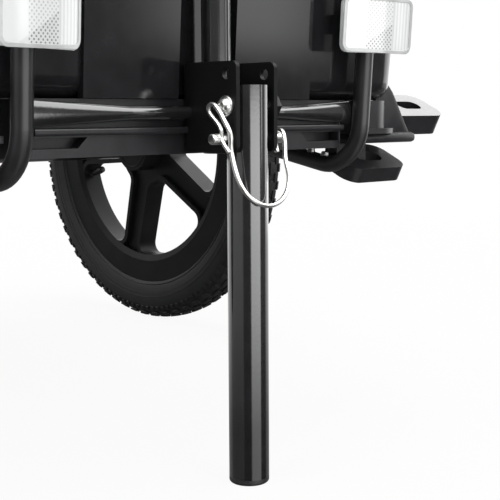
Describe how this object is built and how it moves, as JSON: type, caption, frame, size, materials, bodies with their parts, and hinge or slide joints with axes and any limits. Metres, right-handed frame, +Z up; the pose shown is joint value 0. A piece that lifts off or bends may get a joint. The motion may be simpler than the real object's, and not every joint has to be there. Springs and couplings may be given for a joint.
{
  "type": "cargo bike trailer",
  "caption": "Cargo bike trailer: drafted plastic tub in a bent-tube cradle, folding parking leg, moulded-spoke wheels and a swan-neck drawbar with a seat-post hitch.",
  "frame": {"origin": "on the ground, under the middle of the whole trailer with its drawbar", "axes": "+Z up, -Y the way it is pulled, +X to the trailer's left"},
  "size_m": [0.739, 1.3734, 0.6663],
  "materials": {
    "black_tube": "gloss black powder coat",
    "tub_plastic": "gloss black moulded plastic",
    "black_plastic": "satin black plastic",
    "rim_plastic": "satin moulded plastic",
    "tyre_rubber": "black rubber",
    "clear_reflector": "clear prismatic lens",
    "red_reflector": "red prismatic lens",
    "zinc": "bright zinc plating"
  },
  "bodies": {
    "frame": {"side_rail_left": "black_tube", "side_rail_right": "black_tube", "top_bar_front": "black_tube", "top_bar_rear": "black_tube", "floor_cross_front": "black_tube", "floor_cross_rear": "black_tube", "cross_tube_left": "black_tube", "cross_tube_right": "black_tube", "axle_beam": "black_tube", "axle_saddle_left": "black_tube", "axle_saddle_right": "black_tube", "tub": "tub_plastic", "front_sill": "tub_plastic", "side_skirt_left": "tub_plastic", "side_skirt_right": "tub_plastic", "drawbar": "black_tube", "stand_bracket": "black_tube", "stand_pivot_bolt": "zinc", "stub_axle_left": "zinc", "stub_axle_right": "zinc", "hitch_eye": "black_tube", "reflector_clamp_front_left": "black_plastic", "reflector_front_left": "clear_reflector", "reflector_clamp_front_right": "black_plastic", "reflector_front_right": "clear_reflector", "reflector_clamp_rear_left": "black_plastic", "reflector_rear_left": "red_reflector", "reflector_clamp_rear_right": "black_plastic", "reflector_rear_right": "red_reflector"},
    "wheel_left": {"wheel_rim_left": "rim_plastic", "tyre_left": "tyre_rubber"},
    "wheel_right": {"wheel_rim_right": "rim_plastic", "tyre_right": "tyre_rubber"},
    "stand": {"stand_leg": "black_tube", "stand_foot": "black_plastic"},
    "hitch_knuckle_body": {"hitch_knuckle": "black_tube"},
    "hitch_clamp_body": {"hitch_fork": "black_tube", "hitch_cap": "black_tube"}
  },
  "joints": [
    {"name": "wheel_left_spin", "type": "hinge", "parent": "frame", "child": "wheel_left", "pos_m": [0.328, 0.48675, 0.2], "axis": [1, 0, 0], "continuous": true},
    {"name": "wheel_right_spin", "type": "hinge", "parent": "frame", "child": "wheel_right", "pos_m": [-0.328, 0.48675, 0.2], "axis": [1, 0, 0], "continuous": true},
    {"name": "stand_fold", "type": "hinge", "parent": "frame", "child": "stand", "pos_m": [0, -0.01825, 0.242], "axis": [-1, 0, 0], "range_deg": [0, 180]},
    {"name": "hitch_yaw", "type": "hinge", "parent": "frame", "child": "hitch_knuckle_body", "pos_m": [0, -0.58045, 0.64], "axis": [0, 0, 1], "range_deg": [-75, 75]},
    {"name": "hitch_pitch", "type": "hinge", "parent": "hitch_knuckle_body", "child": "hitch_clamp_body", "pos_m": [0, -0.62045, 0.64], "axis": [1, 0, 0], "range_deg": [-35, 35]}
  ]
}
